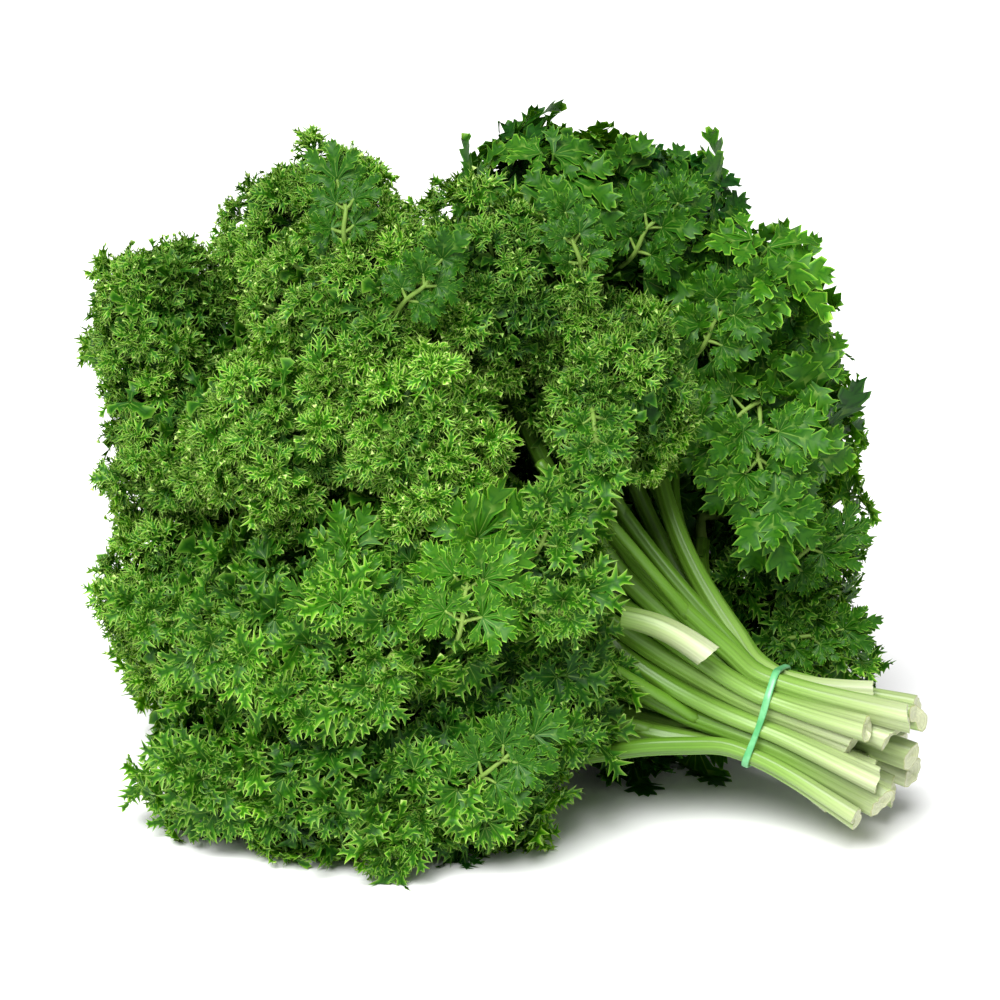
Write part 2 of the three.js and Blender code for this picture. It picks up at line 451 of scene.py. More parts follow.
# How leaflets sit in a tuft: their number, the widest lean of their stalks from the tuft's axis, how
# much of that lean the blades share, how far they may be spun, the length of their stalks, how deep
# the tuft's middle lies, and the spacing of tufts on a leaf.
TUFTS = {
    "moss": {
        "blades": 6,
        "lean": 66,
        "shared": 0.85,
        "spin": 180,
        "tumble": 0.25,
        "stalk_mm": 3.0,
        "depth_mm": 8.5,
        "spacing_mm": 11.0,
    },
    "loose": {
        "blades": 5,
        "lean": 62,
        "shared": 0.6,
        "spin": 60,
        "tumble": 0.55,
        "stalk_mm": 5.0,
        "depth_mm": 7.0,
        "spacing_mm": 13.5,
    },
    "broad": {
        "blades": 3,
        "lean": 58,
        "shared": 0.5,
        "spin": 45,
        "tumble": 0.35,
        "stalk_mm": 6.0,
        "depth_mm": 10.0,
        "spacing_mm": 15.0,
    },
}

# Each leaf's cut and its tone, from 0 for dark green to 1 for yellow green.
LEAF_LOOKS = {
    1: ("loose", 0.34), 2: ("loose", 0.38), 3: ("loose", 0.36), 4: ("loose", 0.36), 5: ("moss", 0.55),
    6: ("loose", 0.42), 7: ("loose", 0.55), 8: ("loose", 0.55), 9: ("moss", 0.48), 10: ("moss", 0.66),
    11: ("moss", 0.74), 12: ("moss", 0.40), 13: ("moss", 0.42), 14: ("moss", 0.58), 15: ("moss", 0.38),
    16: ("moss", 0.42), 17: ("broad", 0.30), 18: ("broad", 0.30), 19: ("broad", 0.36), 20: ("broad", 0.42),
    21: ("loose", 0.34), 22: ("loose", 0.22), 23: ("broad", 0.14), 24: ("loose", 0.36), 25: ("moss", 0.40),
    26: ("moss", 0.46), 27: ("loose", 0.42), 28: ("broad", 0.26), 29: ("moss", 0.42),
}  # fmt: skip


# Leaves in the shade of others, with fewer tufts. Two of them have fewer inner leaflets too.
SPARSE_LEAVES = {21, 22, 24, 25, 26, 27, 28, 29}
SPARSER = 1.25  # how much further apart their tufts are
THIN_LEAVES = {21, 22}
INNER_COUNT = 260
THIN_COUNT = 130
# Leaves round the heart of the bunch, which have leaflets low on their stalks too.
HEART_LEAVES = {5, 10, 16, 20, 21, 23, 24, 25, 26, 27, 28, 29}

# How much further out in mm a tuft is where its crown rises, and how much its tone changes with the rise:
# yellower on the rises as painted light, and darker in the dips as painted shade.
RISE_PAINTED_SHADING = 0.33
RISE_MM = 7.2

ABOVE_FLOOR_MM = 0.3  # the lowest that a leaflet reaches

# ---------------------------------------------------------------- leaves


def welded(node):
    """A CAD node's own corners and faces, with corners that share a place made one."""
    mesh = nodes[node].data
    places = np.array([corner.co for corner in mesh.vertices])
    keys = np.round(places * 1e6).astype(np.int64)
    _, first, same = np.unique(keys, axis=0, return_index=True, return_inverse=True)
    faces = np.array([list(face.vertices) for face in mesh.polygons])
    return places[first], same.ravel()[faces]


BLEND = 0.005  # how widely neighbouring crowns run into each other


def clump(place):
    """How far a place stands out of its surroundings, from -1 in a dip to 1 on a rise."""
    field = noise.noise(Vector(place) * 48) + 0.5 * noise.noise(Vector(place) * 100 + Vector((7, 3, 1)))
    return max(-1.0, min(1.0, field * 1.5))


def turn_to(axis, spin):
    """Three directions: two across, and the axis, turned about it by spin."""
    helper = UP if abs(axis[2]) < 0.9 else np.array([1.0, 0.0, 0.0])
    across = unit(np.cross(helper, axis))
    other = np.cross(axis, across)
    first = across * math.cos(spin) + other * math.sin(spin)
    return np.stack([first, np.cross(axis, first), axis])


def leaning(axis, lean, around):
    """Three directions: across, away from axis, and one that leans from axis to the side of away."""
    across, other, _ = turn_to(axis, around)
    away = other * math.cos(lean) - axis * math.sin(lean)
    return np.stack([across, away, axis * math.cos(lean) + other * math.sin(lean)])


def spun(frame, spin):
    """A set of three directions turned about its last one."""
    across, away, axis = frame
    first = across * math.cos(spin) + away * math.sin(spin)
    return np.stack([first, np.cross(axis, first), axis])


def tuft_places(name, crowns, trees, spacing, rng):
    """Where a leaf's tufts sit, and which way they face. They are spread over its crown. Towards a
    neighbour they rise, so that the crowns run into each other, and none sits in between the two."""
    points, faces = crowns[name]
    corners = points[faces]
    areas = np.linalg.norm(np.cross(corners[:, 1] - corners[:, 0], corners[:, 2] - corners[:, 0]), axis=1)
    chosen = rng.choice(len(faces), size=3500, p=areas / areas.sum())
    split = rng.uniform(size=(len(chosen), 2))
    split = np.where(split.sum(axis=1, keepdims=True) > 1, 1 - split, split)
    tries = corners[chosen, 0] + split[:, :1] * (corners[chosen, 1] - corners[chosen, 0])
    tries = tries + split[:, 1:] * (corners[chosen, 2] - corners[chosen, 0])
    seen = np.empty((0, 3))
    kept = []
    for place in tries:
        if len(seen) and np.linalg.norm(seen - place, axis=1).min() < spacing:
            continue
        seen = np.concatenate([seen, [place]])
        pull = np.zeros(3)
        weights = 0.0
        for other, tree in trees.items():
            distance = tree.find_nearest(Vector(place), BLEND * 5)[3]
            if distance is None:
                continue
            weight = math.exp(-distance / BLEND)
            pull += weight * unit(place - crowns[other][0].mean(axis=0))
            weights += weight
        axis = unit(pull)
        place = place + axis * BLEND * math.log(max(weights, 1.0))
        start = Vector(place + axis * 0.001)
        blocked = any(tree.ray_cast(start, Vector(axis), 0.008)[0] for tree in trees.values())
        if not blocked:
            kept.append((place, axis))
    return kept


def add_blade(pile, blade, base, frame, size, shade):
    """One leaflet in its place. Its shade runs very slightly across it, for the finish's own map."""
    points, quads, marks = blade
    placed = base + (points * size) @ frame
    shades = np.clip(shade + 0.02 * np.linspace(-1, 1, len(marks)), 0.005, 0.995)
    pile.add(placed, quads, np.stack([shades, marks], axis=1))


def add_tuft(pile, kind, root, axis, tone, rng):
    """A tuft of leaflets round one point, each on its own little stalk."""
    plan = TUFTS[kind]
    stock = STOCKS[kind]
    start = rng.uniform(0, TURN)
    tuft_shade = tone + rng.normal(0, 0.10)
    for number in range(plan["blades"]):
        lean = math.radians(plan["lean"]) * math.sqrt(number / max(plan["blades"] - 1, 1))
        lean = lean + rng.uniform(-0.12, 0.12)
        around = start + number * 2.4
        stalk_way = leaning(axis, lean, around)[2]
        length = mm(plan["stalk_mm"]) * rng.uniform(0.7, 1.4)
        base = root + stalk_way * length
        frame = leaning(axis, lean * plan["shared"] + rng.normal(0, plan["tumble"]), around)
        frame = spun(frame, math.radians(plan["spin"]) * rng.uniform(-1, 1))
        shade = tuft_shade + rng.normal(0, 0.07)
        add_blade(pile, stock[rng.integers(len(stock))], base, frame, rng.uniform(0.7, 1.2), shade)
        line = np.linspace(root, base + frame[2] * 0.0003, 3)
        thin = mm(0.45 if kind == "moss" else 0.55)
        shade = float(np.clip(tone, 0.01, 0.99))
        add_tube(pile, line, [thin * 1.2, thin, thin], np.tile([shade, 0.08], (3, 1)), sides=4)


# The length of spray at which each cut of fan has its full size.
FAN_SPAN_MM = {"open": 42, "broad": 50, "loose": 30}

# Along an open leaf's stalk: the station of each side stalk, its angle and the size of its fans.
SPRAY_BRANCHES = (
    (5, 1.15, 0.75),
    (5, -1.15, 0.75),
    (8, 0.85, 0.85),
    (8, -0.85, 0.85),
    (11, 0.0, 1.0),
)


def add_spray(pile, kind, foot, way, length, tone, trees, rng):
    """One leaf's open part, lying over the others: a bare stalk with side stalks, each ending in three
    fans. Seen from the front, foot is its place across and up, and way the angle it grows at."""
    eye = Vector((foot[0], -0.3, foot[1]))
    hits = [tree.ray_cast(eye, Vector((0, 1, 0))) for tree in trees.values()]
    place, normal = min((hit[3], tuple(hit[0]), tuple(hit[1])) for hit in hits if hit[0])[1:]
    face = unit(0.45 * unit(normal) + np.array([0, -0.75, 0.3]))
    angle = math.radians(way)
    heading = np.array([math.cos(angle), 0, math.sin(angle)])
    heading = unit(heading - face * (heading @ face))
    side = np.cross(face, heading)
    start = np.array(place) + face * 0.001
    sway = rng.uniform(-0.1, 0.1) * length
    rachis = smooth_line(
        [
            start - face * 0.010 - heading * length * 0.2,
            start,
            start + heading * length * 0.25 + side * sway + face * 0.002,
            start + heading * length * 0.45,
        ],
        12,
    )
    add_tube(pile, rachis, np.linspace(mm(0.9), mm(0.6), 12), np.tile([tone, 0.03], (12, 1)), sides=6)
    stock = STOCKS[kind]
    for station, turn, size in SPRAY_BRANCHES:
        base = rachis[station]
        out = unit(heading * math.cos(turn) + side * math.sin(turn) + face * rng.uniform(-0.15, 0.25))
        end = base + out * length * 0.13
        line = smooth_line([base, (base + end) / 2 - face * 0.0006, end], 5)
        add_tube(pile, line, np.linspace(mm(0.65), mm(0.5), 5), np.tile([tone, 0.03], (5, 1)), sides=5)
        for fan in (-1, 0, 1):
            yaw = fan * rng.uniform(0.7, 1.0)
            away = out * math.cos(yaw) + np.cross(face, out) * math.sin(yaw)
            axis = unit(face + rng.normal(0, 0.22, 3))
            away = unit(away - axis * (away @ axis))
            frame = np.stack([np.cross(away, axis), away, axis])
            grown = size * (1.1 if fan == 0 else 0.85) * rng.uniform(0.8, 1.15)
            grown = grown * length / mm(FAN_SPAN_MM[kind])
            blade = stock[rng.integers(len(stock))]
            add_blade(pile, blade, end, frame, grown, tone + rng.normal(0, 0.05))


# Open leaves that lie over the crowns, by leaf: the cut of their fans, their place across and up in
# mm as seen from the front, the angle they grow at, their length and their tone.
SPRAYS = {
    1: (("loose", (-80, 26), 160, 30, 0.45),),
    2: (("loose", (-52, 50), 120, 34, 0.5),),
    3: (("open", (-4, 34), 40, 36, 0.45), ("loose", (-24, 22), 250, 28, 0.4)),
    5: (("loose", (-98, 70), 160, 26, 0.5),),
    6: (("open", (-52, 80), 70, 38, 0.6), ("loose", (-76, 72), 200, 28, 0.5)),
    7: (("open", (-10, 80), 78, 48, 0.85), ("loose", (-32, 70), 230, 30, 0.55)),
    8: (("loose", (12, 84), 20, 30, 0.5), ("loose", (14, 103), 55, 36, 0.5)),
    12: (("loose", (30, 142), 280, 30, 0.4),),
    16: (("open", (-45, 193), 100, 30, 0.35), ("broad", (-26, 176), 50, 28, 0.3)),
    18: (("broad", (44, 178), 50, 36, 0.35), ("broad", (26, 184), 100, 28, 0.35)),
    19: (("broad", (66, 150), 50, 40, 0.4),),
    20: (
        ("broad", (82, 130), 200, 50, 0.5),
        ("broad", (84, 126), 280, 50, 0.5),
        ("broad", (76, 136), 50, 40, 0.45),
    ),
    21: (("open", (95, 74), 30, 34, 0.4), ("loose", (96, 60), 320, 30, 0.35)),
    22: (("open", (95, 48), 10, 32, 0.42), ("loose", (94, 32), 345, 30, 0.3)),
}


def fill_crown(pile, points, faces, centre, tone, rng, count):
    """Leaflets inside a crown, seen only in the gaps between its tufts, coloured darker than their leaf as
    painted shade.
    """
    stock = STOCKS["inner"]
    for face in rng.choice(len(faces), size=count):
        place = points[faces[face]].mean(axis=0)
        share = rng.uniform(0.15, 0.7)
        axis = unit(place - centre + rng.normal(0, 0.008, 3))
        frame = turn_to(axis, rng.uniform(0, TURN))
        base = centre + (place - centre) * share + rng.normal(0, 0.003, 3)
        # Painted shade: these leaflets take half the leaf's tone, which makes them darker than its tufts.
        shade = tone * 0.5 + rng.normal(0, 0.05)
        add_blade(pile, stock[rng.integers(len(stock))], base, frame, rng.uniform(0.8, 1.2), shade)


# The leaflets behind the stems: how many each back leaf has, how widely they are spread, how far
# forward they may come, and their lowest and highest places.
HEART_COUNT = 200
HEART_SPREAD = 0.015
HEART_FRONT = 0.026
HEART_LOW = 0.012
HEART_HIGH = 0.190


def fill_heart(pile, centre, heart, tone, rng):
    """Leaflets low on a back leaf's stalk, which close the view between the crowns from behind. They are
    coloured darker than their leaf as painted shade.
    """
    stock = STOCKS["inner"]
    for _ in range(HEART_COUNT):
        base = centre + (heart - centre) * rng.uniform(0.15, 0.8) + rng.normal(0, HEART_SPREAD, 3)
        if base[1] < HEART_FRONT or not HEART_LOW < base[2] < HEART_HIGH:
            continue
        axis = unit(base - heart + rng.normal(0, 0.02, 3))
        frame = turn_to(axis, rng.uniform(0, TURN))
        # Painted shade: these leaflets take the leaf's tone cut to 0.6 of it.
        shade = tone * 0.6 + rng.normal(0, 0.06)
        add_blade(pile, stock[rng.integers(len(stock))], base, frame, rng.uniform(0.9, 1.3), shade)


# The leaflets that close the view between two crowns at the back: how near the crowns must be, how
# many leaflets there are, and how widely they are spread. Where the stems are, to the right of
# HEDGE_STEMS, they come no further forward than HEDGE_FRONT, so that the stems stay clear.
HEDGE_REACH = 0.085
HEDGE_COUNT = 40
HEDGE_SPREAD = 0.011
HEDGE_FRONT = 0.012
HEDGE_STEMS = -0.04


def fill_between(pile, number, middles, tone, rng):
    """Leaflets low on a leaf's side stalks, in the hollows between its crown and the next ones, coloured
    darker than their leaf as painted shade.
    """
    stock = STOCKS["inner"]
    heart = np.mean(list(middles.values()), axis=0)
    own = middles[number]
    for other, middle in middles.items():
        if other <= number or np.linalg.norm(middle - own) > HEDGE_REACH:
            continue
        for _ in range(HEDGE_COUNT):
            base = (own + middle) / 2 + rng.normal(0, HEDGE_SPREAD, 3)
            base = heart + (base - heart) * rng.uniform(0.45, 0.9)
            if base[2] < HEDGE_SPREAD or (base[1] < HEDGE_FRONT and base[0] > HEDGE_STEMS):
                continue
            axis = unit(base - heart + rng.normal(0, 0.02, 3))
            frame = turn_to(axis, rng.uniform(0, TURN))
            # Painted shade: these leaflets take the leaf's tone cut to 0.6 of it.
            shade = tone * 0.6 + rng.normal(0, 0.06)
            add_blade(pile, stock[rng.integers(len(stock))], base, frame, rng.uniform(0.9, 1.3), shade)


def grow_leaf(number, crowns, trees, tips):
    """A whole leaf over its CAD solid: a rachis from the stem's tip, branches, and tufts at their ends."""
    name = f"leaf_{number:02d}"
    rng = np.random.default_rng(100 + number)
    kind, tone = LEAF_LOOKS[number]
    points, faces = crowns[name]
    centre = points.mean(axis=0)
    plan = TUFTS[kind]
    pile = Pile()
    tip, direction = tips[number]
    reach = np.linalg.norm(centre - tip)
    rachis = smooth_line([tip - direction * 0.002, tip + direction * reach * 0.4, centre], 8)
    add_tube(pile, rachis, np.linspace(mm(1.9), mm(1.2), 8), np.tile([tone, 0.03], (8, 1)), sides=8)
    fill_crown(pile, points, faces, centre, tone, rng, THIN_COUNT if number in THIN_LEAVES else INNER_COUNT)
    spacing = plan["spacing_mm"] * (SPARSER if number in SPARSE_LEAVES else 1.0)
    for place, axis in tuft_places(name, crowns, trees, mm(spacing), rng):
        rise = clump(place)
        root = place - axis * mm(plan["depth_mm"] + 1.0 - RISE_MM * rise + rng.uniform(-1.0, 2.5))
        fork = rachis[rng.integers(3, 8)]
        bow = (fork + root) / 2 + (centre - fork) * 0.15
        branch = smooth_line([fork, bow, root], 5)
        thickness = np.linspace(mm(0.95), mm(0.6), 5)
        add_tube(pile, branch, thickness, np.tile([tone, 0.06], (5, 1)), sides=4)
        # A tuft's tone follows the crown's clumps: lighter on the rises as painted light, and darker in the
        # dips as painted shade.
        add_tuft(pile, kind, root, axis, tone + RISE_PAINTED_SHADING * rise, rng)
    for spray_kind, foot, way, length, spray_tone in SPRAYS.get(number, ()):
        add_spray(pile, spray_kind, mm(foot), way, mm(length), spray_tone, trees, rng)
    middles = {other: crowns[f"leaf_{other:02d}"][0].mean(axis=0) for other in LEAF_LOOKS}
    fill_between(pile, number, middles, tone, rng)
    if number in HEART_LEAVES:
        fill_heart(pile, centre, np.mean(list(middles.values()), axis=0), tone, rng)
    for group in pile.points:
        group[:, 2] = np.maximum(group[:, 2], mm(ABOVE_FLOOR_MM))
    set_in_place(pile, f"parsley_{name}", "parsley_leaf", name)


# ---------------------------------------------------------------- stems


STEM_CORNERS = 6  # round each CAD stem
STEM_STATIONS = 56
STEM_SIDES = 36
STEM_WAIST_MM = 2.75  # a stem's radius under the band
TAIL = 0.04  # the length of a stem's swelling end
SHOULDER = 0.03  # how far above the band a stem gets its full size
GREENING = 0.26  # the length over which a stem turns from near white to its full green


def stem_line(node):
    """The middle line of a CAD stem, from its cut end, found ring by ring along its edges."""
    points, faces = welded(node)
    links = [set() for _ in points]
    for face in faces:
        for one, other in zip(face, np.roll(face, 1)):
            links[one].add(other)
            links[other].add(one)
    ring = set(np.argsort(points @ BUNDLE_AXIS)[:STEM_CORNERS].tolist())
    seen = set(ring)
    middles = []
    while ring:
        middles.append(points[list(ring)].mean(axis=0))
        ring = set().union(*(links[corner] for corner in ring)) - seen
        seen |= ring
    return np.array(middles)


def band_frame():
    """The band's middle and the direction of the stems through it, towards the leaves."""
    points, faces = welded("rubber_band")
    middle = (points.max(axis=0) + points.min(axis=0)) / 2
    _, _, turned = np.linalg.svd(points - points.mean(axis=0))
    axis = turned[2]
    return middle, axis if axis[0] < 0 else -axis


BAND_MIDDLE, BUNDLE_AXIS = band_frame()


# The side stalk that leaves a stem: at which of its stations, leaning how far up, and how long in mm.
FORKS = {
    3: (24, 0.34, 40),
    4: (27, 0.5, 38),
    6: (34, 0.45, 34),
    9: (28, 0.45, 42),
    12: (30, 0.4, 36),
    15: (31, 0.45, 44),
    17: (34, 0.45, 40),
    19: (34, -0.35, 36),
}


def add_fork(pile, foot, along, radius, lean, length, height):
    """A side stalk that swells out of a stem and bends back to run beside it."""
    stations = 14
    up = np.array([0, -0.75, 0.65])
    up = unit(up - along * (up @ along))
    spread = np.linspace(0, 1, stations)[:, None]
    heading = along * math.cos(lean) + up * math.sin(lean)
    line = foot + heading * length * spread + along * length * 0.15 * spread**2
    radii = radius * (0.62 + 0.3 * np.exp(-spread[:, 0] * 5))
    marks = np.stack([np.full(stations, 0.5), np.full(stations, height)], axis=1)
    add_tube(pile, line, radii, marks, sides=16)


def grow_stem(number, line, rng):
    """A grooved stalk along its CAD stem, swelling towards its cut end."""
    name = f"stem_{number:02d}"
    sides = STEM_SIDES
    path = smooth_line(line, STEM_STATIONS)
    run = np.concatenate([[0], np.cumsum(np.linalg.norm(np.diff(path, axis=0), axis=1))])
    from_band = (path - BAND_MIDDLE) @ BUNDLE_AXIS
    build = rng.uniform(0.92, 1.1)
    tail = np.clip(-from_band / TAIL, 0, 1)
    rise = np.clip(from_band / SHOULDER, 0, 1)
    slim = np.clip((run - run[-1] * 0.35) / (run[-1] * 0.65), 0, 1)
    radius = mm(STEM_WAIST_MM) + mm(1.0) * build * tail**1.2 + mm(0.3) * build * rise - mm(1.0) * slim
    along, first, second = carried_frames(path)
    angle = np.arange(sides) / sides * TURN
    facing = rng.uniform(0, TURN)
    ribs = 1 + 0.085 * np.abs(np.cos(4.5 * angle)) + 0.03 * np.cos(5 * angle + facing)
    flat = 1 + (0.12 + rng.uniform(0.1, 0.34) * tail[:, None]) * np.cos(2 * (angle - facing)[None, :])
    channel = (0.12 + 0.22 * tail[:, None]) * np.exp(-(((angle - facing) % TURN - 1.6) / 0.42)[None, :] ** 2)
    swell = (ribs[None, :] * flat - channel) * radius[:, None]
    ring = np.cos(angle)[:, None] * first[:, None] + np.sin(angle)[:, None] * second[:, None]
    slope = rng.uniform(-0.5, 0.5, 2)
    body = path[:, None] + ring * swell[:, :, None]
    ragged = mm(rng.uniform(0.1, 0.6)) * rng.uniform(-1, 1, sides)
    ragged = (np.roll(ragged, 1) + ragged) / 2
    slant = (slope[0] * np.cos(angle) + slope[1] * np.sin(angle)) * radius[0] + ragged
    fade = np.clip(1 - run / 0.006, 0, 1)
    body = body - along[:, None] * (slant[None, :] * fade[:, None])[:, :, None]
    pile = Pile()
    around = np.linspace(0, 1, sides, endpoint=False)
    green = rng.uniform(0, 0.1)
    height = np.clip(0.05 + green + run / GREENING, 0, 1)[:, None]
    marks = np.stack(np.broadcast_arrays(around[None, :], height), axis=2)
    pile.add(body.reshape(-1, 3), grid_quads(len(path), sides, closed=True), marks.reshape(-1, 2))
    add_cut_end(pile, body[0], along[0], radius[0])
    if number in FORKS:
        station, lean, length = FORKS[number]
        add_fork(pile, path[station], along[station], radius[station], lean, mm(length), height[station, 0])
    tip = path[-1] + along[-1] * mm(0.5)
    corner = np.arange(sides)
    pile.add(
        np.concatenate([body[-1], [tip]]),
        np.stack([corner, (corner + 1) % sides, np.full(sides, sides), np.full(sides, sides)], axis=1),
        np.tile([0.5, 0.95], (sides + 1, 1)),
    )
    set_in_place(pile, f"parsley_{name}", "parsley_stalk", name)
    return path[-1], along[-1]


# Along a stem's colours, where the raised rim of a cut and its soft inside lie.
CUT_RIM = 0.002
CUT_INSIDE = 0.022


def add_cut_end(pile, rim, along, radius):
    """The face of a cut: a raised rim, then a soft middle that sinks a little."""
    middle = rim.mean(axis=0)
    sides = len(rim)
    rings = [rim]
    for share, depth in ((0.86, -0.03), (0.6, 0.08), (0.3, 0.16)):
        rings.append(middle + (rim - middle) * share + along * radius * depth)
    points = np.concatenate([*rings, [middle + along * radius * 0.18]])
    quads = grid_quads(len(rings), sides, closed=True)[:, ::-1]
    last = (len(rings) - 1) * sides
    corner = np.arange(sides)
    heart = np.full(sides, len(points) - 1)
    closing = np.stack([last + (corner + 1) % sides, last + corner, heart, heart], axis=1)
    quads = np.concatenate([quads, closing])
    turned = np.arange(len(points)) / len(points)
    depth_marks = np.full(len(points), CUT_INSIDE)
    depth_marks[:sides] = CUT_RIM
    marks = np.stack([turned, depth_marks], axis=1)
    pile.add(points, quads, marks)


# ---------------------------------------------------------------- the band


def convex_outline(points):
    """The corners of the tightest outline round flat points, in order."""
    ordered = sorted(map(tuple, points))

    def half(run):
        chain = []
        for point in run:
            while len(chain) > 1:
                (x1, y1), (x2, y2) = chain[-2], chain[-1]
                if (x2 - x1) * (point[1] - y1) - (y2 - y1) * (point[0] - x1) > 0:
                    break
                chain.pop()
            chain.append(point)
        return chain[:-1]

    return np.array(half(ordered) + half(ordered[::-1]))


BAND_HALF_WIDTH_MM = 1.1
BAND_HALF_DEPTH_MM = 0.55
BAND_REACH_MM = 2.95  # from a stem's middle line to the inner side of the band


def stretch_band(lines):
    """A flat rubber band pulled tight round the stems, bridging the hollows between them."""
    first = unit(np.cross(UP, BUNDLE_AXIS))
    second = np.cross(BUNDLE_AXIS, first)
    angle = np.arange(24) / 24 * TURN
    circle = np.stack([np.cos(angle), np.sin(angle)], axis=1) * mm(BAND_REACH_MM)
    touched = []
    for line in lines:
        path = smooth_line(line, 200)
        nearest = path[np.argmin(np.abs((path - BAND_MIDDLE) @ BUNDLE_AXIS))] - BAND_MIDDLE
        touched.append(np.array([nearest @ first, nearest @ second]) + circle)
    outline = convex_outline(np.concatenate(touched))
    closed = np.concatenate([outline, outline[:1]])
    run = np.concatenate([[0], np.cumsum(np.linalg.norm(np.diff(closed, axis=0), axis=1))])
    stations = 160
    wanted = np.linspace(0, run[-1], stations, endpoint=False)
    loop = np.stack([np.interp(wanted, run, closed[:, axis]) for axis in range(2)], axis=1)
    for _ in range(3):
        loop = (np.roll(loop, 1, axis=0) + 2 * loop + np.roll(loop, -1, axis=0)) / 4
    ahead = np.roll(loop, -1, axis=0) - np.roll(loop, 1, axis=0)
    outward = unit(np.stack([ahead[:, 1], -ahead[:, 0]], axis=1))
    turn = wanted / run[-1] * TURN
    half_width = mm(BAND_HALF_WIDTH_MM) * (1 + 0.08 * np.sin(3 * turn + 1) + 0.05 * np.sin(7 * turn))
    half_depth = mm(BAND_HALF_DEPTH_MM)
    tilt = 0.22 * np.sin(turn + 0.6)
    lean = mm(0.9) * np.sin(turn + 2.0) + mm(0.35) * np.sin(3 * turn)
    section = []
    corners = 12
    for number in range(corners):
        around = number / corners * TURN
        wide = math.copysign(abs(math.cos(around)) ** 0.6, math.cos(around))
        deep = math.copysign(abs(math.sin(around)) ** 0.6, math.sin(around))
        section.append((wide, deep))
    rows = []
    for wide, deep in section:
        across = half_width * wide * np.cos(tilt) - half_depth * deep * np.sin(tilt)
        out = half_width * wide * np.sin(tilt) + half_depth * deep * np.cos(tilt) + half_depth * 1.3
        flat = loop + outward * out[:, None]
        rows.append(
            BAND_MIDDLE + flat[:, :1] * first + flat[:, 1:] * second + BUNDLE_AXIS * (across + lean)[:, None]
        )
    points = np.stack(rows, axis=1).reshape(-1, 3)
    quads = grid_quads(stations, corners, closed=True)
    seam = np.arange(corners)
    after = (seam + 1) % corners
    far = (stations - 1) * corners
    quads = np.concatenate([quads, np.stack([far + seam, far + after, after, seam], axis=1)])
    marks = np.stack(
        np.broadcast_arrays((turn / TURN)[:, None], np.linspace(0, 1, corners)[None, :]), axis=2
    ).reshape(-1, 2)
    pile = Pile()
    pile.add(points, quads, marks)
    set_in_place(pile, "stretched_band", "mint_rubber", "rubber_band")


def cut_stub(rng):
    """The pale stalk that was cut off short among the stems."""
    points, _ = welded("cut_stalk")
    middle = points.mean(axis=0)
    _, _, turned = np.linalg.svd(points - middle)
    axis = turned[0] if turned[0][0] > 0 else -turned[0]
    reach = ((points - middle) @ axis).max()
    stations = 20
    bow = mm(2.2) * np.sin(np.linspace(0, math.pi, stations))
    line = middle + np.linspace(reach, -reach, stations)[:, None] * axis + UP * bow[:, None]
    sides = 30
    along, first, second = carried_frames(line)
    angle = np.arange(sides) / sides * TURN
    ribs = 1 + 0.09 * np.abs(np.cos(4.5 * angle)) - 0.2 * np.exp(-((angle - 1.2) / 0.5) ** 2)
    ring = np.cos(angle)[:, None] * first[:, None] + np.sin(angle)[:, None] * second[:, None]
    radius = np.linspace(mm(4.0), mm(3.2), stations)
    body = line[:, None] + ring * ribs[None, :, None] * radius[:, None, None]
    slant = 0.3 * np.cos(angle) * radius[0] + mm(0.35) * rng.uniform(-1, 1, sides)
    body[0] = body[0] - along[0] * slant[:, None]
    pile = Pile()
    around = np.linspace(0, 1, sides, endpoint=False)
    height = np.linspace(0.06, 0.24, stations)[:, None]
    marks = np.stack(np.broadcast_arrays(around[None, :], height), axis=2)
    pile.add(body.reshape(-1, 3), grid_quads(stations, sides, closed=True), marks.reshape(-1, 2))
    add_cut_end(pile, body[0], along[0], radius[0])
    add_cut_end(pile, body[-1][::-1], -along[-1], radius[-1])
    set_in_place(pile, "parsley_cut_stalk", "parsley_stalk", "cut_stalk")


# ---------------------------------------------------------------- finishes


def srgb(code):
    """A linear colour from an sRGB hex code."""
    values = [int(code[start : start + 2], 16) / 255 for start in (1, 3, 5)]
    linear = [v / 12.92 if v <= 0.04045 else ((v + 0.055) / 1.055) ** 2.4 for v in values]
    return (*linear, 1.0)


def add_node(tree, kind, inputs=None, stops=None, **settings):
    """Adds one node with its settings, its colour stops and its inputs, linked or plain."""
    node = tree.nodes.new(kind)
    for name, value in settings.items():
        setattr(node, name, value)
    if stops:
        ramp = node.color_ramp.elements
        while len(ramp) < len(stops):
            ramp.new(1.0)
        for element, (place, colour) in zip(ramp, stops):
            element.position = place
            element.color = srgb(colour)
    for name, value in (inputs or {}).items():
        socket = node.inputs[name]
        if isinstance(value, bpy.types.NodeSocket):
            tree.links.new(value, socket)
        else:
            socket.default_value = value
    return node


def new_finish(name):
    """An empty node tree of a new material."""
    material = bpy.data.materials.new(name)
    material.use_nodes = True
    tree = material.node_tree
    tree.nodes.clear()
    return tree


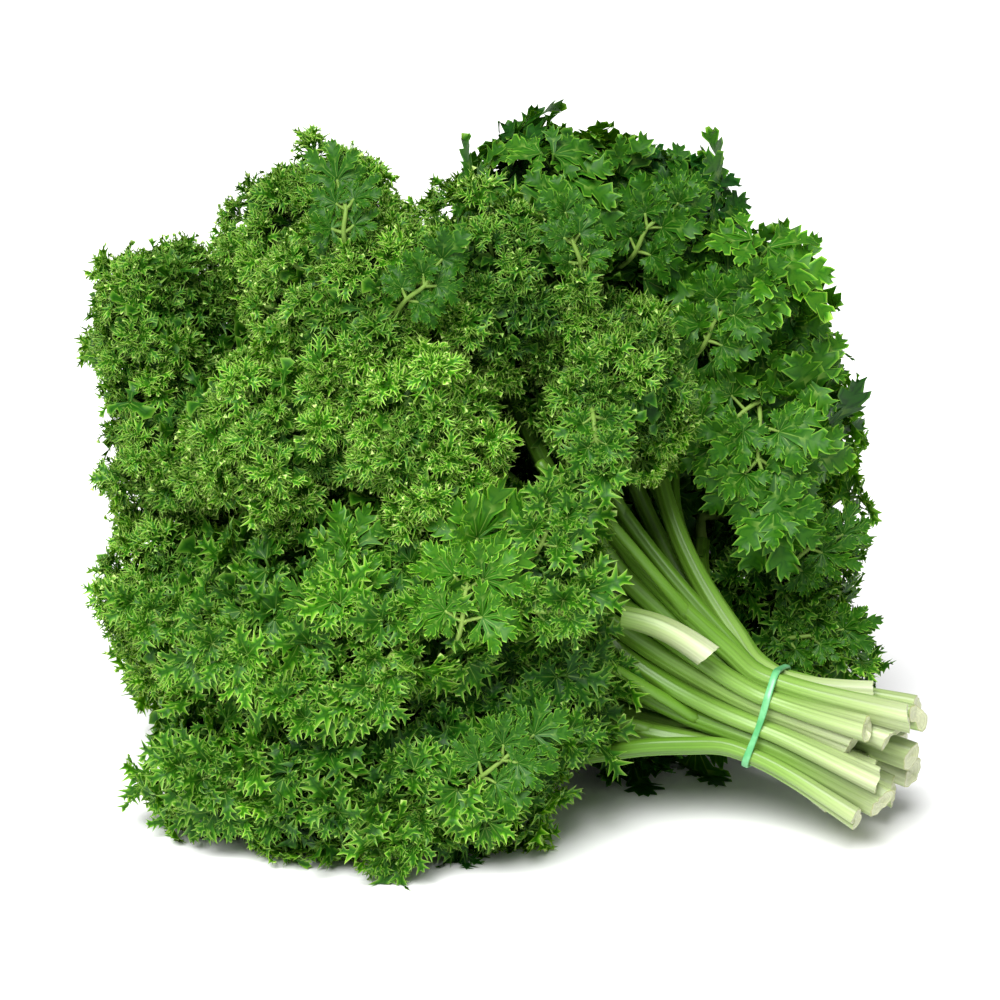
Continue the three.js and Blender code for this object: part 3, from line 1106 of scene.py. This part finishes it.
def parsley_leaf():
    """Leaf tissue: thin, waxy enough to shine a little, and lit through from behind. Ribs are paler than the
    blade, and the blade is darker towards each leaflet's base as painted shade. The rims of the teeth are
    paler than the blade, partly in their own colour and partly as painted highlight."""
    tree = new_finish("parsley_leaf")
    marks = add_node(tree, "ShaderNodeUVMap", uv_map="OFBake")
    parts = add_node(tree, "ShaderNodeSeparateXYZ", {"Vector": marks.outputs[0]})
    # Both ramps run from the pale rib at 0 to the rim at 1. The blade is darkest at 0.32, near a leaflet's
    # base, as painted shade, and lighter towards its tips.
    dark = add_node(
        tree,
        "ShaderNodeValToRGB",
        {"Fac": parts.outputs["Y"]},
        [
            (0.0, "#6f9238"),
            (0.10, "#114509"),
            (0.32, "#062e05"),
            (0.6, "#0a3e08"),
            (0.9, "#225c0f"),
            # The rim's pale colour is partly the leaf's own and partly painted highlight.
            (1.0, "#76a43c"),
        ],
    )
    light = add_node(
        tree,
        "ShaderNodeValToRGB",
        {"Fac": parts.outputs["Y"]},
        [
            (0.0, "#b4d26c"),
            (0.10, "#457d13"),
            (0.32, "#2e6c0e"),
            (0.6, "#549c17"),
            (0.9, "#9cd044"),
            # The rim's pale colour is partly the leaf's own and partly painted highlight.
            (1.0, "#daf094"),
        ],
    )
    blend = add_node(tree, "ShaderNodeMix", {"Factor": parts.outputs["X"]}, data_type="RGBA")
    tree.links.new(dark.outputs["Color"], blend.inputs[6])
    tree.links.new(light.outputs["Color"], blend.inputs[7])
    place = add_node(tree, "ShaderNodeTexCoord")
    mottle = add_node(
        tree, "ShaderNodeTexNoise", {"Vector": place.outputs["Object"], "Scale": 900.0, "Detail": 2.0}
    )
    spread = add_node(
        tree,
        "ShaderNodeMapRange",
        {"Value": mottle.outputs["Fac"], "To Min": 0.86, "To Max": 1.14},
    )
    colour = add_node(
        tree,
        "ShaderNodeHueSaturation",
        {"Value": spread.outputs["Result"], "Color": blend.outputs[2]},
    )
    through = add_node(
        tree,
        "ShaderNodeHueSaturation",
        {"Hue": 0.488, "Saturation": 1.08, "Value": 1.35, "Color": colour.outputs["Color"]},
    )
    skin = add_node(
        tree,
        "ShaderNodeBsdfPrincipled",
        {
            "Base Color": colour.outputs["Color"],
            "Roughness": 0.45,
            "IOR": 1.42,
            "Specular IOR Level": 0.24,
        },
    )
    glow = add_node(tree, "ShaderNodeBsdfTranslucent", {"Color": through.outputs["Color"]})
    mixed = add_node(tree, "ShaderNodeMixShader", {0: 0.24, 1: skin.outputs[0], 2: glow.outputs[0]})
    add_node(tree, "ShaderNodeOutputMaterial", {"Surface": mixed.outputs[0]})


def parsley_stalk():
    """A fresh stalk: firm, moist and smooth, near white where it grew in the ground and green above."""
    tree = new_finish("parsley_stalk")
    marks = add_node(tree, "ShaderNodeUVMap", uv_map="OFBake")
    parts = add_node(tree, "ShaderNodeSeparateXYZ", {"Vector": marks.outputs[0]})
    length = add_node(
        tree,
        "ShaderNodeValToRGB",
        {"Fac": parts.outputs["Y"]},
        [
            (0.0, "#8f9050"),
            (0.02, "#b9be99"),
            (0.05, "#b3bb97"),
            (0.14, "#9aab74"),
            (0.24, "#799c46"),
            (0.36, "#5a8424"),
            (0.75, "#446d17"),
        ],
    )
    stretched = add_node(
        tree,
        "ShaderNodeMapping",
        {"Vector": marks.outputs[0], "Scale": (22.0, 3.0, 1.0)},
    )
    streaks = add_node(
        tree, "ShaderNodeTexNoise", {"Vector": stretched.outputs[0], "Scale": 1.0, "Detail": 3.0}
    )
    spread = add_node(
        tree,
        "ShaderNodeMapRange",
        {
            "Value": streaks.outputs["Fac"],
            "From Min": 0.3,
            "From Max": 0.7,
            "To Min": 0.7,
            "To Max": 1.25,
        },
    )
    colour = add_node(
        tree,
        "ShaderNodeHueSaturation",
        {"Value": spread.outputs["Result"], "Color": length.outputs["Color"]},
    )
    skin = add_node(
        tree,
        "ShaderNodeBsdfPrincipled",
        {
            "Base Color": colour.outputs["Color"],
            "Roughness": 0.38,
            "IOR": 1.42,
            "Subsurface Weight": 0.15,
            "Subsurface Radius": (0.002, 0.003, 0.001),
            "Subsurface Scale": 1.0,
        },
    )
    add_node(tree, "ShaderNodeOutputMaterial", {"Surface": skin.outputs[0]})


def mint_rubber():
    """Natural rubber, dyed mint green and stretched, so that it is smooth with a soft sheen."""
    tree = new_finish("mint_rubber")
    place = add_node(tree, "ShaderNodeTexCoord")
    cloud = add_node(
        tree, "ShaderNodeTexNoise", {"Vector": place.outputs["Object"], "Scale": 260.0, "Detail": 3.0}
    )
    colour = add_node(
        tree,
        "ShaderNodeValToRGB",
        {"Fac": cloud.outputs["Fac"]},
        [(0.3, "#4a9e60"), (0.7, "#78bd86")],
    )
    bump = add_node(
        tree,
        "ShaderNodeBump",
        {"Height": cloud.outputs["Fac"], "Strength": 0.2, "Distance": 0.0002},
    )
    skin = add_node(
        tree,
        "ShaderNodeBsdfPrincipled",
        {
            "Base Color": colour.outputs["Color"],
            "Roughness": 0.35,
            "IOR": 1.52,
            "Normal": bump.outputs["Normal"],
        },
    )
    add_node(tree, "ShaderNodeOutputMaterial", {"Surface": skin.outputs[0]})


def paper_white():
    """A plain white paper sweep, matt, for the bunch to lie on."""
    tree = new_finish("paper_white")
    skin = add_node(
        tree,
        "ShaderNodeBsdfPrincipled",
        {"Base Color": srgb("#f6f6f6"), "Roughness": 0.8, "Specular IOR Level": 0.2},
    )
    add_node(tree, "ShaderNodeOutputMaterial", {"Surface": skin.outputs[0]})


# ---------------------------------------------------------------- studio


def lay_floor():
    """The white sweep under the bunch, wide enough that its edge stays out of sight from above."""
    mesh = bpy.data.meshes.new("floor")
    reach = 6.0
    corners = [(-reach, -reach, 0), (reach, -reach, 0), (reach, reach, 0), (-reach, reach, 0)]
    mesh.from_pydata(corners, [], [(0, 1, 2, 3)])
    floor = bpy.data.objects.new("floor", mesh)
    floor.data.materials.append(bpy.data.materials["paper_white"])
    bpy.context.collection.objects.link(floor)


def light_studio():
    """One very large soft light from the upper left and front, in an even white room."""
    room = bpy.data.worlds.new("room")
    room.use_nodes = True
    backdrop = room.node_tree.nodes["Background"]
    backdrop.inputs["Color"].default_value = (1, 1, 1, 1)
    backdrop.inputs["Strength"].default_value = 0.35
    bpy.context.scene.world = room
    sun = bpy.data.lights.new("softbox", "SUN")
    sun.energy = 6.0
    sun.angle = math.radians(40)
    softbox = bpy.data.objects.new("softbox", sun)
    towards = Vector((-0.22, -0.60, 0.80))
    softbox.rotation_euler = towards.to_track_quat("Z", "Y").to_euler()
    bpy.context.collection.objects.link(softbox)
    bpy.context.scene.view_settings.view_transform = "Standard"


# ---------------------------------------------------------------- making

aim_camera()
for finish in (parsley_leaf, parsley_stalk, mint_rubber, paper_white):
    finish()

stem_numbers = range(1, 30)
stem_lines = {number: stem_line(f"stem_{number:02d}") for number in stem_numbers}
tips = {}
for number, line in stem_lines.items():
    tips[number] = grow_stem(number, line, np.random.default_rng(500 + number))
cut_stub(np.random.default_rng(40))
stretch_band(stem_lines.values())

crowns = {f"leaf_{number:02d}": welded(f"leaf_{number:02d}") for number in LEAF_LOOKS}
trees = {}
for name, (points, faces) in crowns.items():
    trees[name] = BVHTree.FromPolygons(points.tolist(), faces.tolist())
for number in LEAF_LOOKS:
    grow_leaf(number, crowns, trees, tips)

lay_floor()
light_studio()
